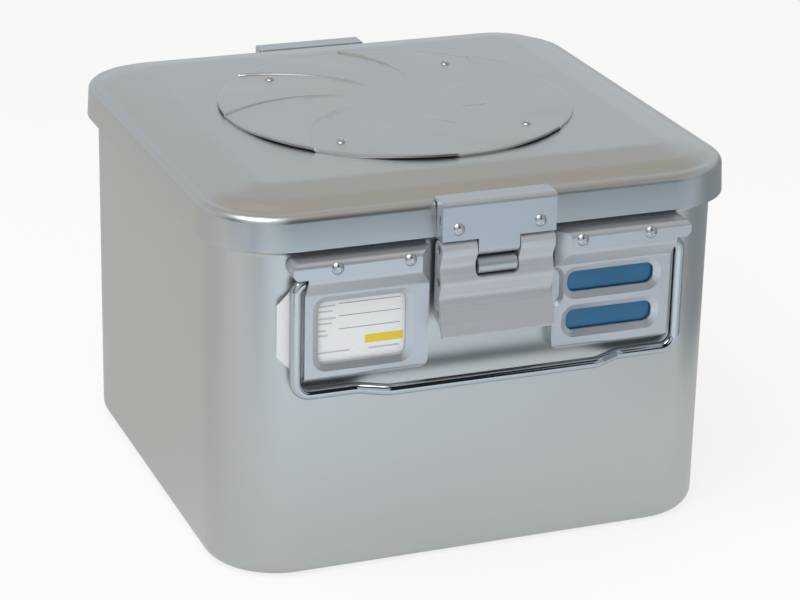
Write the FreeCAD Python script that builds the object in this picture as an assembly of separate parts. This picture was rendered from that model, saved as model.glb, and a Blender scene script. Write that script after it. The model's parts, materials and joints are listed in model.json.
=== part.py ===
import FreeCAD, Part

import math
import os

# Lengths are in millimetres and angles in degrees. X runs along the front, the front
# faces -Y, Z is up, and the origin is the middle of the underside.

Vector = FreeCAD.Vector
ORIGIN = Vector(0, 0, 0)
X_AXIS = Vector(1, 0, 0)
Z_AXIS = Vector(0, 0, 1)

# fits
pin_clearance = 0.05
part_gap = 0.3
drill_clearance = 0.05

# base: a deep-drawn box with a flared rim
base_length = 279.4
base_width = 268.4
base_corner = 40.0
base_wall = 2.0
base_foot_radius = 8.0
flare_start = 178.3
flare_height = 2.7
flare_out = 3.0
rim_height = 12.0

# lid: a pressed sheet whose skirt laps over the rim
skirt_gap = 0.8
lid_sheet = 1.5
lid_corner_growth = 2.0
lid_edge_radius = 4.0
skirt_step = 0.3
ledge_width = 7.0
crease_radius = 6.0
shoulder_foot_width = 7.0
shoulder_foot_rise = 3.5
shoulder_radius = 20.0
shoulder_top_width = 19.0
shoulder_top_rise = 3.5
plateau_radius = 30.0
seal_width = 6.3
seal_height = 5.0
seal_side_gap = 0.6
seal_corner_radius = 3.0

# steam holes in the lid and in the filter retainer
hole_radius = 1.6
hole_pitch = 10.0
first_hole_ring = 22.0
hole_ring_step = 10.5
hole_ring_count = 5

# vent cover: a round sheet with curved raised blades
cover_radius = 96.5
cover_sheet = 1.2
blade_count = 8
blade_rise = 1.2
blade_root = 26.0
blade_sweep = 38.5
blade_phase = -0.8
blade_ramp_start = 30.0
blade_ramp_end = 18.0
blade_sections = 6
blade_facets = 4
cover_rivet_length_pitch = 105.0
cover_rivet_width_pitch = 116.0
cover_rivet_head = 3.0
cover_rivet_height = 1.5
cover_rivet_shank = 1.5
rivet_seat_radius = 3.4

# filter and its retainer, under the lid
filter_radius = 95.0
filter_thickness = 0.4
filter_hole = 9.0
ring_seal_width = 6.0
ring_seal_height = 2.0
ring_seal_margin = 1.5
retainer_sheet = 1.0
retainer_drop = 1.6
retainer_slope = 4.0
retainer_band = 11.0
post_flange_radius = 7.5
post_flange_height = 1.4
post_radius = 3.0
post_length = 12.5
post_rivet_radius = 2.4
knob_radius = 14.0
knob_height = 3.5
knob_edge_radius = 1.0
knob_grip_length = 24.0
knob_grip_width = 5.0
knob_grip_height = 4.0

# lid bracket, which holds the latch's hinge pin
bracket_half = 31.0
bracket_reach = 7.9
bracket_sheet = 1.6
bracket_bend = 2.6
bracket_lap = 5.5
bracket_rivet_x = 22.2
bracket_rivet_rise = 6.0
bracket_rivet_head = 3.25
bracket_rivet_height = 1.7
bracket_rivet_shank = 1.6
flange_slot_width = 1.6
flange_slot_height = 6.0

# latch: an extruded plate that swings on the hinge pin
latch_half = 30.8
latch_half_depth = 4.9
latch_gap = 0.4
pin_radius = 2.3
pin_inset = 0.2
pin_stand_off = 8.6
hinge_drop = 5.8
lock_drop = 17.5
channel_drop = 34.9
latch_waist = 1.8
latch_waist_drop = 8.0
latch_waist_bend = 6.0
latch_crest_drop = 2.7
latch_crest_bend = 3.0
latch_lip_drop = 45.8
latch_lip_out = 8.4
latch_lip_sheet = 2.8
latch_throat_depth = 3.8
latch_throat_rise = 4.0
latch_throat_bend = 8.0
latch_heel_drop = 6.0
latch_heel_bend = 3.0
latch_edge = 2.0
notch_half = 11.8
notch_rise = 1.8
notch_corner = 3.0
knuckle_gap = 0.6

# catch: an eye on the base that the lock pin hooks under
eye_half = 10.5
eye_radius = 4.4
seal_hole_radius = 2.0
catch_gap = 0.4
catch_half = 20.0
catch_sheet = 1.6
catch_bottom = 146.0
catch_corner = 3.0
catch_web = 3.4
catch_rivet_x = 15.5
catch_rivet_low = 4.5
catch_rivet_pitch = 8.0
catch_rivet_head = 2.4
catch_rivet_height = 0.9
catch_rivet_shank = 1.4

# holders: pressed trays beside the latch
holder_sheet = 1.2
holder_inner = 34.3
holder_end_inset = 39.2
holder_bottom = 111.0
holder_depth = 5.8
band_gap = 1.3
band_depth = 11.8
band_bottom = 166.0
slope_height = 8.5
band_inner = 40.7
wing_reach = 8.0
wing_bottom = 168.4
tray_bend = 3.0
slope_bend = 4.0
wing_corner = 3.5
inner_corner = 6.0
dish_depth = 2.0
dish_width = 3.4
window_inner = 45.8
window_end_inset = 7.7
window_low = 119.5
window_high = 153.0
window_corner = 4.0
slot_inner = 42.9
slot_end_inset = 8.7
slot_height = 11.4
upper_slot_low = 141.9
lower_slot_low = 120.7
slot_corner = 4.5
relief_width = 4.0
relief_low = 137.0
relief_high = 156.0
relief_margin = 10.0
relief_corner = 5.0
holder_rivet_inner = 47.0
holder_rivet_inset = 15.0
holder_rivet_height = 173.0
holder_rivet_head = 3.3
holder_rivet_dome = 1.8
holder_rivet_shank = 1.6

# handle and the bars that carry its ends
wire_radius = 3.0
handle_pivot_drop = 12.0
handle_stand_off = 5.2
handle_leg_gap = 4.8
handle_drop = 60.2
handle_end_x = 60.0
handle_top_bend = 6.0
handle_low_bend = 8.0
grip_half = 57.5
grip_shift = 7.5
grip_slant = 14.5
grip_bend = 8.0
bar_inner = 44.0
bar_end_inset = 6.5
bar_floor = 0.95

# insert card and tag plate
card_thickness = 0.4
tag_thickness = 0.8
card_stand_off = 1.4
card_tab_reach = 13.3
card_low_chamfer = 12.5
card_high_chamfer = 8.0
tag_end_inset = 1.0
insert_corner = 5.5
insert_end_corner = 1.0

# what follows from them
rim_top = flare_start + flare_height + rim_height
lid_overhang = flare_out + skirt_gap + lid_sheet
lid_length = base_length + 2 * lid_overhang
lid_width = base_width + 2 * lid_overhang
lid_corner = base_corner + lid_corner_growth
lid_rim = rim_top + seal_height + lid_sheet
skirt_bottom = flare_start + flare_height + skirt_step
plateau = lid_rim + shoulder_foot_rise + shoulder_top_rise
lid_under = plateau - lid_sheet
wall_face = -base_width / 2
wall_inside = wall_face + base_wall
skirt_face = -lid_width / 2
pin_y = wall_face - pin_stand_off
hinge_height = skirt_bottom - hinge_drop
lock_height = hinge_height - lock_drop
eye_height = lock_height + pin_radius + catch_gap + eye_radius
bracket_face = skirt_face - bracket_reach
bracket_bottom = hinge_height + latch_half_depth + latch_gap
holder_outer = base_length / 2 - holder_end_inset
wing_outer = holder_outer + wing_reach
window_outer = holder_outer - window_end_inset
slot_outer = holder_outer - slot_end_inset
holder_rivet_outer = holder_outer - holder_rivet_inset
handle_leg_x = holder_outer + handle_leg_gap
bar_outer = holder_outer - bar_end_inset
card_tab_x = holder_outer + card_tab_reach
tag_outer = holder_outer - tag_end_inset
holder_face = wall_face - holder_depth
band_face = wall_face - band_depth
band_top = flare_start - band_gap
handle_pivot_height = band_top - handle_pivot_drop
handle_y = wall_face - handle_stand_off
card_face = wall_face - card_stand_off - card_thickness
cover_top = plateau + cover_sheet


def rounded_edges(corners, closed):
    """Straight edges and tangent arcs along corners, which are (point, radius) pairs."""
    count = len(corners)
    bends = []
    for i, (point, radius) in enumerate(corners):
        at_end = not closed and i in (0, count - 1)
        if radius == 0 or at_end:
            bends.append((point, None, point))
            continue
        back = (corners[i - 1][0] - point).normalize()
        ahead = (corners[(i + 1) % count][0] - point).normalize()
        half = back.getAngle(ahead) / 2
        setback = radius / math.tan(half)
        bisector = (back + ahead).normalize()
        middle = point + bisector * (radius / math.sin(half) - radius)
        bends.append((point + back * setback, middle, point + ahead * setback))
    edges = []
    for i, (start, middle, finish) in enumerate(bends):
        if middle is not None:
            edges.append(Part.Arc(start, middle, finish).toShape())
        if closed or i < count - 1:
            following = bends[(i + 1) % count][0]
            if finish.distanceToPoint(following) > 1e-6:
                edges.append(Part.makeLine(finish, following))
    return edges


def face_yz(corners, x=0):
    points = [(Vector(x, y, z), radius) for y, z, radius in corners]
    return Part.Face(Part.Wire(rounded_edges(points, True)))


def wire_xz(corners, y=0):
    points = [(Vector(x, y, z), radius) for x, z, radius in corners]
    return Part.Wire(rounded_edges(points, True))


def face_xz(corners, y=0):
    return Part.Face(wire_xz(corners, y))


def face_xy(corners, z=0):
    points = [(Vector(x, y, z), radius) for x, y, radius in corners]
    return Part.Face(Part.Wire(rounded_edges(points, True)))


def bar_x(corners, x_low, x_high):
    """A section in the YZ plane, drawn out along X."""
    return face_yz(corners, x_low).extrude(Vector(x_high - x_low, 0, 0))


def block(x_low, x_high, y_low, y_high, z_low, z_high):
    size = (x_high - x_low, y_high - y_low, z_high - z_low)
    return Part.makeBox(*size, Vector(x_low, y_low, z_low))


def bent_sheet(path, thickness):
    """The outline of a bent sheet: path is one skin, the other lies to the left of it."""
    points = [Vector(a, b, 0) for a, b, radius in path]
    normals = []
    for start, finish in zip(points, points[1:]):
        run = (finish - start).normalize()
        normals.append(Vector(-run.y, run.x, 0))
    other = []
    for i, (a, b, radius) in enumerate(path):
        before = normals[max(i - 1, 0)]
        after = normals[min(i, len(normals) - 1)]
        shift = (before + after) * (thickness / (1 + before.dot(after)))
        if radius > 0:
            turns_left = before.cross(after).z > 0
            radius += -thickness if turns_left else thickness
        other.append((a + shift.x, b + shift.y, radius))
    return list(path) + other[::-1]


def drawn_round(corners, length, width, corner, floor=None):
    """Carries a section round a rounded rectangle. The section's first numbers are distances
    from the corner's own centre, and floor is the low and high side of the flat middle."""
    reach_x = length / 2 - corner
    reach_y = width / 2 - corner
    centres = [Vector(sx * reach_x, sy * reach_y, 0) for sx, sy in ((1, 1), (-1, 1), (-1, -1), (1, -1))]
    pieces = []
    for turn, centre in enumerate(centres):
        section = face_xz(corners)
        section.rotate(ORIGIN, Z_AXIS, 90 * turn)
        bend = section.revolve(ORIGIN, Z_AXIS, 90)
        bend.translate(centre)
        previous = centres[turn - 1]
        section.translate(previous)
        pieces += [bend, section.extrude(centre - previous)]
    if floor:
        pieces.append(block(-reach_x, reach_x, -reach_y, reach_y, *floor))
    return pieces[0].fuse(pieces[1:]).removeSplitter()


def cylinder(radius, start, finish):
    run = finish - start
    return Part.makeCylinder(radius, run.Length, start, run)


def spin_z(corners):
    """Turns a section round the Z axis: its first numbers are radii."""
    return face_xz(corners).revolve(ORIGIN, Z_AXIS, 360)


def rivet(seat, outward, head_radius, head_height, shank_radius, shank_length):
    """A domed rivet whose head sits at seat, on the outward side."""
    sphere = (head_radius**2 + head_height**2) / (2 * head_height)
    top = Vector(0, 0, head_height)
    rim = Vector(head_radius, 0, 0)
    lean = math.asin(head_radius / sphere) / 2
    crown = Vector(sphere * math.sin(lean), 0, head_height - sphere * (1 - math.cos(lean)))
    dome = Part.Face(
        Part.Wire(
            [
                Part.makeLine(ORIGIN, rim),
                Part.Arc(rim, crown, top).toShape(),
                Part.makeLine(top, ORIGIN),
            ]
        )
    ).revolve(ORIGIN, Z_AXIS, 360)
    solid = dome.fuse(cylinder(shank_radius, ORIGIN, Vector(0, 0, -shank_length)))
    solid.Placement = FreeCAD.Placement(seat, FreeCAD.Rotation(Z_AXIS, outward))
    return solid


def drill(shape, points, direction, radius, depth):
    """Cuts a hole at each point, along direction."""
    holes = [cylinder(radius, point, point + direction * depth) for point in points]
    return shape.cut(holes)


def rounded_rectangle(x_low, x_high, z_low, z_high, radius, growth, y):
    corners = [
        (x_low - growth, z_low - growth),
        (x_high + growth, z_low - growth),
        (x_high + growth, z_high + growth),
        (x_low - growth, z_high + growth),
    ]
    return wire_xz([(x, z, radius + growth) for x, z in corners], y)


def tapered(rectangle, front_growth, front_y, back_growth, back_y):
    """A rounded rectangle that shrinks from front_y to back_y."""
    front = rounded_rectangle(*rectangle, front_growth, front_y)
    back = rounded_rectangle(*rectangle, back_growth, back_y)
    return Part.makeLoft([front, back], True, True)


def hole_field(z_low, z_high):
    """The steam holes: rings of small holes round the middle."""
    holes = []
    for ring in range(hole_ring_count):
        ring_radius = first_hole_ring + ring * hole_ring_step
        count = round(2 * math.pi * ring_radius / hole_pitch)
        for k in range(count):
            angle = 2 * math.pi * k / count
            x = ring_radius * math.cos(angle)
            y = ring_radius * math.sin(angle)
            holes.append(cylinder(hole_radius, Vector(x, y, z_low), Vector(x, y, z_high)))
    return holes


def both_sides(x, y, z):
    return [Vector(-x, y, z), Vector(x, y, z)]


def turned_back(shape):
    """The rear copy of a front piece."""
    copy = shape.copy()
    copy.rotate(ORIGIN, Z_AXIS, 180)
    return copy


def mirrored(shape):
    return shape.mirror(ORIGIN, X_AXIS)


def holder_rivet_points(y):
    return [Vector(x, y, holder_rivet_height) for x in (holder_rivet_inner, holder_rivet_outer)]


def catch_rivet_points(y):
    low = catch_bottom + catch_rivet_low
    return [p for z in (low, low + catch_rivet_pitch) for p in both_sides(catch_rivet_x, y, z)]


def bracket_rivet_points(y):
    return both_sides(bracket_rivet_x, y, bracket_bottom + bracket_rivet_rise)


def cover_rivet_places():
    x = cover_rivet_length_pitch / 2
    y = cover_rivet_width_pitch / 2
    return [(-x, -y), (-x, y), (x, -y), (x, y)]


def base_shell():
    path = [
        (0, 0, 0),
        (base_corner, 0, base_foot_radius),
        (base_corner, flare_start, 3.0),
        (base_corner + flare_out, flare_start + flare_height, 3.0),
        (base_corner + flare_out, rim_top, 0),
    ]
    floor = (0, base_wall)
    shell = drawn_round(bent_sheet(path, base_wall), base_length, base_width, base_corner, floor)
    start = wall_face - part_gap
    inward = Vector(0, 1, 0)
    depth = base_wall + 2 * part_gap
    holder_points = holder_rivet_points(start)
    holder_points += [Vector(-p.x, p.y, p.z) for p in holder_points]
    shank = holder_rivet_shank + drill_clearance
    catch_shank = catch_rivet_shank + drill_clearance
    for _ in range(2):
        shell = drill(shell, holder_points, inward, shank, depth)
        shell = drill(shell, catch_rivet_points(start), inward, catch_shank, depth)
        shell = turned_back(shell)
    return shell


def lid_shell():
    crease = lid_corner - ledge_width
    shoulder = crease - shoulder_foot_width
    plateau_edge = shoulder - shoulder_top_width
    path = [
        (lid_corner, skirt_bottom, 0),
        (lid_corner, lid_rim, lid_edge_radius),
        (crease, lid_rim, crease_radius),
        (shoulder, lid_rim + shoulder_foot_rise, shoulder_radius),
        (plateau_edge, plateau, plateau_radius),
        (0, plateau, 0),
    ]
    floor = (lid_under, plateau)
    shell = drawn_round(bent_sheet(path, lid_sheet), lid_length, lid_width, lid_corner, floor)
    shell = shell.cut(hole_field(lid_under - part_gap, plateau + part_gap))
    down = Vector(0, 0, -1)
    through = lid_sheet + 2 * part_gap
    above = plateau + part_gap
    rivet_points = [Vector(x, y, above) for x, y in cover_rivet_places()]
    shell = drill(shell, rivet_points, down, cover_rivet_shank + drill_clearance, through)
    shell = drill(shell, [Vector(0, 0, above)], down, post_rivet_radius + drill_clearance, through)
    for _ in range(2):
        points = bracket_rivet_points(skirt_face - part_gap)
        shell = drill(shell, points, Vector(0, 1, 0), bracket_rivet_shank + drill_clearance, through)
        shell = turned_back(shell)
    return shell


def lid_gasket():
    outer = lid_corner - lid_sheet - seal_side_gap
    inner = outer - seal_width
    top = rim_top + seal_height
    section = [
        (inner, rim_top, 1.0),
        (outer, rim_top, 1.0),
        (outer, top, seal_corner_radius),
        (inner, top, 1.0),
    ]
    return drawn_round(section, lid_length, lid_width, lid_corner)


def blade_height(radius):
    share = (radius - blade_root) / (cover_radius - blade_root)
    return blade_rise * min(max(share, 0), 1)


def blade_edge_angle(radius):
    """Where a blade's sharp edge stands at a radius, in degrees."""
    share = (cover_radius - radius) / (cover_radius - blade_root)
    return blade_phase - blade_sweep * share


def polar(radius, angle, z):
    turn = math.radians(angle)
    return Vector(radius * math.cos(turn), radius * math.sin(turn), z)


def blade(top, bottom, edge_inset):
    """One raised blade as a solid, from bottom up to a skin that starts at the height top."""
    reach = cover_radius + 2 * cover_sheet
    sections = []
    for i in range(blade_sections):
        radius = blade_root + (reach - blade_root) * i / (blade_sections - 1)
        share = (radius - blade_root) / (cover_radius - blade_root)
        edge = blade_edge_angle(radius) - math.degrees(edge_inset / radius)
        ring = [polar(radius, edge - blade_ramp_start, bottom)]
        for k in range(blade_facets + 1):
            behind = blade_ramp_start + (blade_ramp_end - blade_ramp_start) * k / blade_facets
            rise = blade_rise * share * k / blade_facets
            ring.append(polar(radius, edge - behind, top + rise))
        ring.append(polar(radius, edge, top + blade_rise * share))
        ring.append(polar(radius, edge, bottom))
        sections.append(Part.makePolygon(ring + ring[:1]))
    return Part.makeLoft(sections, True, True)


def cover_height(x, y):
    """The height of the cover's upper face at a place."""
    radius = math.hypot(x, y)
    pitch = 360 / blade_count
    behind = (blade_edge_angle(radius) - math.degrees(math.atan2(y, x))) % pitch
    share = (blade_ramp_start - behind) / (blade_ramp_start - blade_ramp_end)
    return cover_top + blade_height(radius) * min(max(share, 0), 1)


def vent_cover():
    sheet = cylinder(cover_radius, Vector(0, 0, plateau), Vector(0, 0, cover_top))
    raised = blade(cover_top, plateau, 0)
    hollow = blade(plateau - pin_clearance, plateau - 2 * cover_sheet, cover_sheet)
    raised_blades = []
    hollow_blades = []
    for k in range(blade_count):
        turn = 360 / blade_count * k
        raised_blades.append(raised.rotated(ORIGIN, Z_AXIS, turn))
        hollow_blades.append(hollow.rotated(ORIGIN, Z_AXIS, turn))
    reach = Vector(0, 0, cover_top + blade_rise + cover_sheet)
    outline = cylinder(cover_radius, Vector(0, 0, plateau), reach)
    cover = sheet.fuse(raised_blades).common(outline).cut(hollow_blades)
    seats = []
    clearings = []
    for x, y in cover_rivet_places():
        seat = Vector(x, y, cover_height(x, y))
        seats.append(cylinder(rivet_seat_radius, Vector(x, y, plateau), seat))
        clearings.append(cylinder(rivet_seat_radius, seat, seat + Vector(0, 0, blade_rise)))
    cover = cover.cut(clearings).fuse(seats)
    points = [Vector(x, y, plateau - part_gap) for x, y in cover_rivet_places()]
    depth = cover_sheet + blade_rise + 2 * part_gap
    return drill(cover, points, Z_AXIS, cover_rivet_shank + drill_clearance, depth)


def vent_cover_rivets():
    rivets = []
    for x, y in cover_rivet_places():
        seat = Vector(x, y, cover_height(x, y))
        size = (cover_rivet_head, cover_rivet_height, cover_rivet_shank, seat.z - lid_under)
        rivets.append(rivet(seat, Z_AXIS, *size))
    return Part.makeCompound(rivets)


def filter_sheet():
    top = Vector(0, 0, lid_under)
    bottom = Vector(0, 0, lid_under - filter_thickness)
    return cylinder(filter_radius, bottom, top).cut(cylinder(filter_hole, bottom, top))


def retainer_gasket():
    top = lid_under - filter_thickness
    outer = filter_radius - ring_seal_margin
    return spin_z(
        [
            (outer - ring_seal_width, top - ring_seal_height, 0),
            (outer, top - ring_seal_height, 0),
            (outer, top, 0.6),
            (outer - ring_seal_width, top, 0.6),
        ]
    )


def retainer_rim_top():
    return lid_under - filter_thickness - ring_seal_height


def retainer_middle():
    return retainer_rim_top() - retainer_drop


def filter_retainer():
    band_inner_radius = filter_radius - retainer_band
    path = [
        (post_radius + part_gap, retainer_middle() - retainer_sheet, 0),
        (band_inner_radius - retainer_slope, retainer_middle() - retainer_sheet, 2.0),
        (band_inner_radius, retainer_rim_top() - retainer_sheet, 2.0),
        (filter_radius, retainer_rim_top() - retainer_sheet, 0),
    ]
    plate = spin_z(bent_sheet(path, retainer_sheet))
    low = retainer_middle() - retainer_sheet - part_gap
    return plate.cut(hole_field(low, retainer_middle() + part_gap))


def retainer_post():
    flange_low = lid_under - post_flange_height
    flange = cylinder(post_flange_radius, Vector(0, 0, flange_low), Vector(0, 0, lid_under))
    shank = cylinder(post_rivet_radius, Vector(0, 0, lid_under), Vector(0, 0, plateau))
    stud = cylinder(post_radius, Vector(0, 0, lid_under - post_length), Vector(0, 0, flange_low))
    return flange.fuse([shank, stud]).removeSplitter()


def retainer_knob():
    top = retainer_middle() - retainer_sheet - part_gap
    low = top - knob_height
    disc = spin_z(
        [
            (post_radius + pin_clearance, low, 0),
            (knob_radius, low, knob_edge_radius),
            (knob_radius, top, knob_edge_radius),
            (post_radius + pin_clearance, top, 0),
        ]
    )
    half_length = knob_grip_length / 2
    half_width = knob_grip_width / 2
    grip = face_xy(
        [
            (-half_length, -half_width, 2.0),
            (half_length, -half_width, 2.0),
            (half_length, half_width, 2.0),
            (-half_length, half_width, 2.0),
        ],
        low - knob_grip_height,
    ).extrude(Vector(0, 0, knob_grip_height))
    bore = cylinder(post_radius + pin_clearance, Vector(0, 0, low - knob_grip_height), Vector(0, 0, top))
    return disc.fuse(grip).cut(bore).removeSplitter()


def pin_bore(height, radius, half):
    return cylinder(radius, Vector(-half, pin_y, height), Vector(half, pin_y, height))


def lid_bracket():
    flange_top = lid_rim + bracket_sheet
    path = [
        (skirt_face + bracket_lap, flange_top, 0),
        (bracket_face, flange_top, bracket_bend),
        (bracket_face, bracket_bottom, 0),
    ]
    bracket = bar_x(bent_sheet(path, bracket_sheet), -bracket_half, bracket_half)
    side = [
        (bracket_face, bracket_bottom, 0),
        (skirt_face, bracket_bottom, 0),
        (skirt_face, flange_top, 0),
        (bracket_face, flange_top, bracket_bend),
    ]
    slot_y = (bracket_face + skirt_face) / 2
    slot_middle = (bracket_bottom + flange_top) / 2
    half_width = flange_slot_width / 2
    half_straight = flange_slot_height / 2 - half_width
    low = slot_middle - half_straight
    high = slot_middle + half_straight
    slot = [block(-bracket_half, bracket_half, slot_y - half_width, slot_y + half_width, low, high)]
    for z in (low, high):
        ends = Vector(-bracket_half, slot_y, z), Vector(bracket_half, slot_y, z)
        slot.append(cylinder(half_width, *ends))
    sides = []
    for x in (-bracket_half, bracket_half - bracket_sheet):
        sides.append(bar_x(side, x, x + bracket_sheet).cut(slot))
    knuckle_half = notch_half - knuckle_gap
    knuckle_radius = pin_y - bracket_face
    tongue = block(
        -knuckle_half,
        knuckle_half,
        bracket_face,
        bracket_face + bracket_sheet,
        hinge_height,
        bracket_bottom + bracket_sheet,
    )
    bracket = bracket.fuse(sides + [tongue, pin_bore(hinge_height, knuckle_radius, knuckle_half)])
    bracket = bracket.cut(pin_bore(hinge_height, pin_radius + pin_clearance, bracket_half))
    points = bracket_rivet_points(bracket_face - part_gap)
    depth = bracket_sheet + 2 * part_gap
    return drill(bracket, points, Vector(0, 1, 0), bracket_rivet_shank + drill_clearance, depth)


def bracket_rivets():
    length = skirt_face + lid_sheet - bracket_face
    size = (bracket_rivet_head, bracket_rivet_height, bracket_rivet_shank, length)
    return Part.makeCompound([rivet(p, Vector(0, -1, 0), *size) for p in bracket_rivet_points(bracket_face)])


def latch_plate():
    front = pin_y - latch_half_depth
    back = pin_y + latch_half_depth
    waist = pin_y - latch_waist
    top = hinge_height + latch_half_depth
    lip_z = hinge_height - latch_lip_drop
    lip_y = pin_y - latch_lip_out
    channel_z = hinge_height - channel_drop
    profile = [
        (front, top, latch_half_depth),
        (back, top, latch_half_depth),
        (back, channel_z - latch_edge, latch_edge),
        (lip_y + 1.6 * latch_lip_sheet, channel_z - latch_heel_drop, latch_heel_bend),
        (lip_y + latch_lip_sheet, lip_z, 0.6),
        (lip_y, lip_z + 0.3 * latch_lip_sheet, 0.8),
        (pin_y - latch_throat_depth, channel_z + latch_throat_rise, latch_throat_bend),
        (waist, lock_height - latch_waist_drop, latch_waist_bend),
        (front, lock_height, latch_waist_bend),
        (waist, (lock_height + hinge_height) / 2, latch_waist_bend),
        (front, hinge_height - latch_crest_drop, latch_crest_bend),
    ]
    plate = bar_x(profile, -latch_half, latch_half)
    notch_low = lock_height + notch_rise
    notch_top = top + part_gap
    notch = face_xz(
        [
            (-notch_half, notch_low, notch_corner),
            (notch_half, notch_low, notch_corner),
            (notch_half, notch_top, 0),
            (-notch_half, notch_top, 0),
        ],
        front - latch_gap,
    ).extrude(Vector(0, 2 * latch_half_depth + 2 * latch_gap, 0))
    bores = [pin_bore(z, pin_radius + pin_clearance, latch_half) for z in (hinge_height, lock_height)]
    bores.append(pin_bore(channel_z, pin_radius, latch_half))
    return plate.cut([notch] + bores)


def catch_plate():
    top = eye_height + catch_web
    plate = block(-catch_half, catch_half, wall_face - catch_sheet, wall_face, catch_bottom, top)
    corners = [e for e in plate.Edges if abs(e.tangentAt(e.FirstParameter).y) > 0.99]
    plate = plate.makeFillet(catch_corner, corners)
    low = eye_height - catch_web / 2
    web = block(-eye_half, eye_half, pin_y, wall_face, low, low + catch_web)
    catch = plate.fuse([web, pin_bore(eye_height, eye_radius, eye_half)])
    catch = catch.cut(pin_bore(eye_height, seal_hole_radius, eye_half))
    points = catch_rivet_points(wall_face - catch_sheet - part_gap)
    depth = catch_sheet + 2 * part_gap
    return drill(catch, points, Vector(0, 1, 0), catch_rivet_shank + drill_clearance, depth)


def catch_rivets():
    points = catch_rivet_points(wall_face - catch_sheet)
    size = (catch_rivet_head, catch_rivet_height, catch_rivet_shank, catch_sheet + base_wall)
    return Part.makeCompound([rivet(p, Vector(0, -1, 0), *size) for p in points])


def holder_section(inset):
    """The tray's side view, as (y, z, radius), shrunk by inset."""
    slope_low = band_bottom - slope_height
    path = [
        (wall_face, holder_bottom, 0),
        (holder_face, holder_bottom, tray_bend),
        (holder_face, slope_low, slope_bend),
        (band_face, band_bottom, slope_bend),
        (band_face, band_top, tray_bend),
        (wall_face, band_top, 0),
    ]
    if inset == 0:
        return path
    outline = bent_sheet(path[::-1], inset)
    return outline[len(path):]


def holder_front(inset, outer_edge):
    """The tray's front view, as (x, z, radius), shrunk by inset."""
    return [
        (holder_inner + inset, holder_bottom + inset, inner_corner - inset),
        (outer_edge, holder_bottom + inset, 0),
        (outer_edge, wing_bottom + inset, 0),
        (wing_outer - inset, wing_bottom + inset, wing_corner - inset),
        (wing_outer - inset, band_top - inset, wing_corner - inset),
        (holder_inner + inset, band_top - inset, 0),
    ]


def holder_form(inset, outer_edge, section):
    y_low = band_face - part_gap
    depth = Vector(0, band_depth + 2 * part_gap, 0)
    side = bar_x(section, holder_inner - part_gap, wing_outer + part_gap)
    form = side.common(face_xz(holder_front(inset, outer_edge), y_low).extrude(depth))
    lean = math.atan2(band_inner - holder_inner, band_depth - holder_depth)
    shift = inset / math.cos(lean)
    margin = part_gap * math.tan(lean)
    wedge = face_xy(
        [
            (holder_inner - 5.0, y_low, 0),
            (band_inner + shift + margin, y_low, 0),
            (holder_inner + shift, holder_face, 0),
            (holder_inner - 5.0, holder_face, 0),
        ],
        holder_bottom,
    )
    return form.cut(wedge.extrude(Vector(0, 0, band_top - holder_bottom + part_gap)))


def holder_tray():
    tray = holder_form(0, holder_outer, holder_section(0))
    inside = list(holder_section(holder_sheet))
    hollow = holder_form(holder_sheet, holder_outer + 2 * holder_sheet, inside)
    tray = tray.cut(hollow)
    points = holder_rivet_points(band_face - part_gap)
    depth = holder_sheet + 2 * part_gap
    return drill(tray, points, Vector(0, 1, 0), holder_rivet_shank + drill_clearance, depth)


def dished_opening(tray, rectangle):
    """Presses a rounded rectangle's edge inwards and opens its middle."""
    lip = holder_face + dish_depth
    lip_back = lip + holder_sheet
    inner_face = holder_face + holder_sheet
    back = tapered(rectangle, dish_width + holder_sheet, inner_face - 0.5, holder_sheet, lip_back)
    front = tapered(rectangle, dish_width, holder_face, 0, lip)
    skin = tapered(rectangle, dish_width, holder_face - part_gap, dish_width, holder_face)
    opening = tapered(rectangle, 0, holder_face, 0, lip_back + part_gap)
    return tray.fuse(back).cut([front, skin, opening])


def edge_relief(tray):
    """Presses a shallow finger relief into the tray's inner edge."""
    rectangle = (
        holder_inner - 4 * relief_width,
        holder_inner + relief_width,
        relief_low,
        relief_high,
        relief_corner,
    )
    floor = holder_face + dish_depth
    behind = floor + holder_sheet
    back = tapered(rectangle, 2 * holder_sheet, holder_face + holder_sheet / 2, holder_sheet, behind)
    low = relief_low - relief_margin
    high = relief_high + relief_margin
    kept = block(holder_inner, holder_outer, holder_face, wall_face, low, high)
    front = tapered(rectangle, dish_depth, holder_face, 0, floor)
    skin = tapered(rectangle, dish_depth, holder_face - part_gap, dish_depth, holder_face)
    return tray.fuse(back.common(kept)).cut([front, skin])


def card_holder():
    window = (window_inner, window_outer, window_low, window_high, window_corner)
    return mirrored(dished_opening(holder_tray(), window))


def tag_holder():
    tray = holder_tray()
    for low in (upper_slot_low, lower_slot_low):
        slot = (slot_inner, slot_outer, low, low + slot_height, slot_corner)
        tray = dished_opening(tray, slot)
    return edge_relief(tray)


def holder_rivets():
    points = holder_rivet_points(band_face)
    size = (holder_rivet_head, holder_rivet_dome, holder_rivet_shank, band_depth + base_wall)
    return Part.makeCompound([rivet(p, Vector(0, -1, 0), *size) for p in points])


def bar_bottom():
    return handle_pivot_height - wire_radius - pin_clearance - bar_floor


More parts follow.
